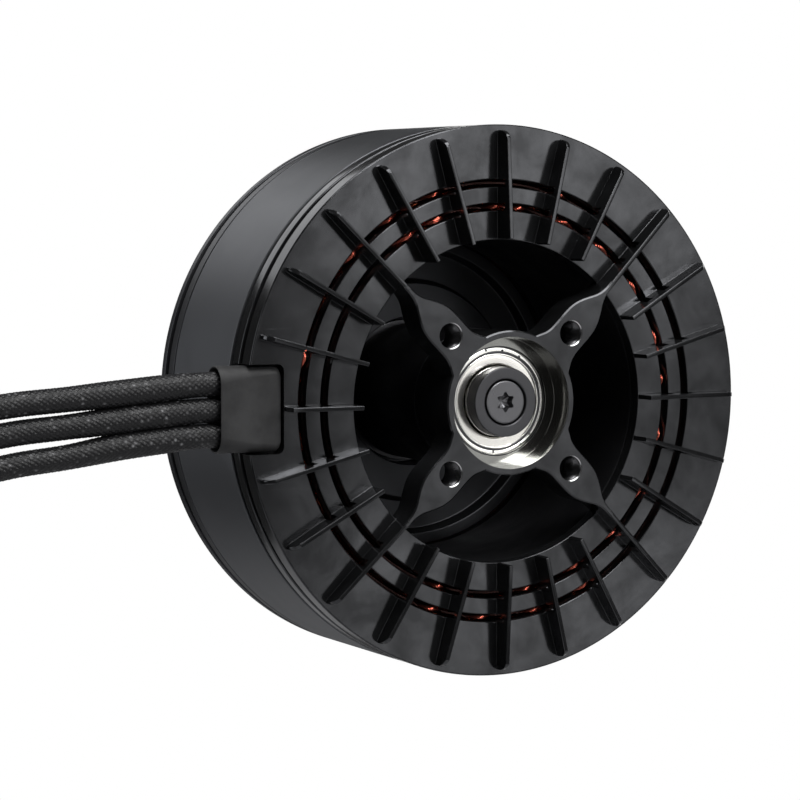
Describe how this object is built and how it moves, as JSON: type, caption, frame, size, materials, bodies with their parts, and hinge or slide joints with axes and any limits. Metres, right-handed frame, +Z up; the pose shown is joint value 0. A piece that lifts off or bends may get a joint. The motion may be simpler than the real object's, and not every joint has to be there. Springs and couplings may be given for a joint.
{
  "type": "brushless outrunner motor",
  "caption": "Flat brushless outrunner motor with a finned stator base, a central bolted hub, a turning can and bell, and phase leads that end in bullet plugs.",
  "frame": {"origin": "centre of the four mounting holes, on the front face of the hub", "axes": "+Y along the shaft from the mounting face to the propeller face, +Z up, the leads leave towards -X"},
  "size_m": [0.286, 0.078, 0.2568],
  "materials": {
    "black_anodised": "black anodised, satin",
    "carrier_aluminium": "machined, dark anodised",
    "bright_steel": "ground and polished",
    "black_oxide_steel": "black oxide",
    "coated_ring_steel": "dark satin coating over turned steel",
    "lamination_steel": "stacked laminations, varnished",
    "enamelled_copper": "enamelled copper wire",
    "nickel_magnet": "nickel plated",
    "boot_rubber": "matte moulded",
    "braided_sleeve": "black braid with pale flecks",
    "heat_shrink": "shrunk sleeve",
    "gold_plate": "gold plated"
  },
  "bodies": {
    "stator": {"bearing_tube": "carrier_aluminium", "bullet_plug_a": "gold_plate", "bullet_plug_b": "gold_plate", "bullet_plug_c": "gold_plate", "carrier_screw_1": "black_oxide_steel", "carrier_screw_2": "black_oxide_steel", "carrier_screw_3": "black_oxide_steel", "carrier_screw_4": "black_oxide_steel", "front_bearing_front_shield": "bright_steel", "front_bearing_outer_race": "bright_steel", "front_bearing_rear_shield": "bright_steel", "front_shield_clip": "bright_steel", "lead_boot": "boot_rubber", "lead_joint_a": "enamelled_copper", "lead_joint_b": "enamelled_copper", "lead_joint_c": "enamelled_copper", "phase_lead_a": "braided_sleeve", "phase_lead_b": "braided_sleeve", "phase_lead_c": "braided_sleeve", "plug_sleeve_a": "heat_shrink", "plug_sleeve_b": "heat_shrink", "plug_sleeve_c": "heat_shrink", "preload_washer": "bright_steel", "rear_bearing_front_shield": "bright_steel", "rear_bearing_outer_race": "bright_steel", "rear_bearing_rear_shield": "bright_steel", "stator_base": "black_anodised", "stator_carrier": "carrier_aluminium", "stator_core": "lamination_steel", "winding_phase_a": "enamelled_copper", "winding_phase_b": "enamelled_copper", "winding_phase_c": "enamelled_copper"},
    "rotor": {"bearing_spacer": "bright_steel", "flange_screw_1": "black_oxide_steel", "flange_screw_2": "black_oxide_steel", "flange_screw_3": "black_oxide_steel", "flange_screw_4": "black_oxide_steel", "flux_ring": "coated_ring_steel", "front_bearing_inner_race": "bright_steel", "magnet_ring": "nickel_magnet", "rear_bearing_inner_race": "bright_steel", "rotor_bell": "black_anodised", "shaft": "black_oxide_steel", "shaft_collar": "black_oxide_steel", "shaft_end_screw": "black_oxide_steel"},
    "front_ball_cage": {"front_bearing_balls": "bright_steel"},
    "rear_ball_cage": {"rear_bearing_balls": "bright_steel"}
  },
  "joints": [
    {"name": "rotor_spin", "type": "hinge", "parent": "stator", "child": "rotor", "pos_m": [0, 0, 0], "axis": [0, 1, 0], "continuous": true},
    {"name": "front_balls_spin", "type": "hinge", "parent": "stator", "child": "front_ball_cage", "pos_m": [0, 0.013, 0], "axis": [0, 1, 0], "continuous": true},
    {"name": "rear_balls_spin", "type": "hinge", "parent": "stator", "child": "rear_ball_cage", "pos_m": [0, 0.0585, 0], "axis": [0, 1, 0], "continuous": true}
  ],
  "couplings": [
    {"joint": "front_balls_spin", "follows": "rotor_spin", "ratio": 0.3987},
    {"joint": "rear_balls_spin", "follows": "rotor_spin", "ratio": 0.3987}
  ]
}
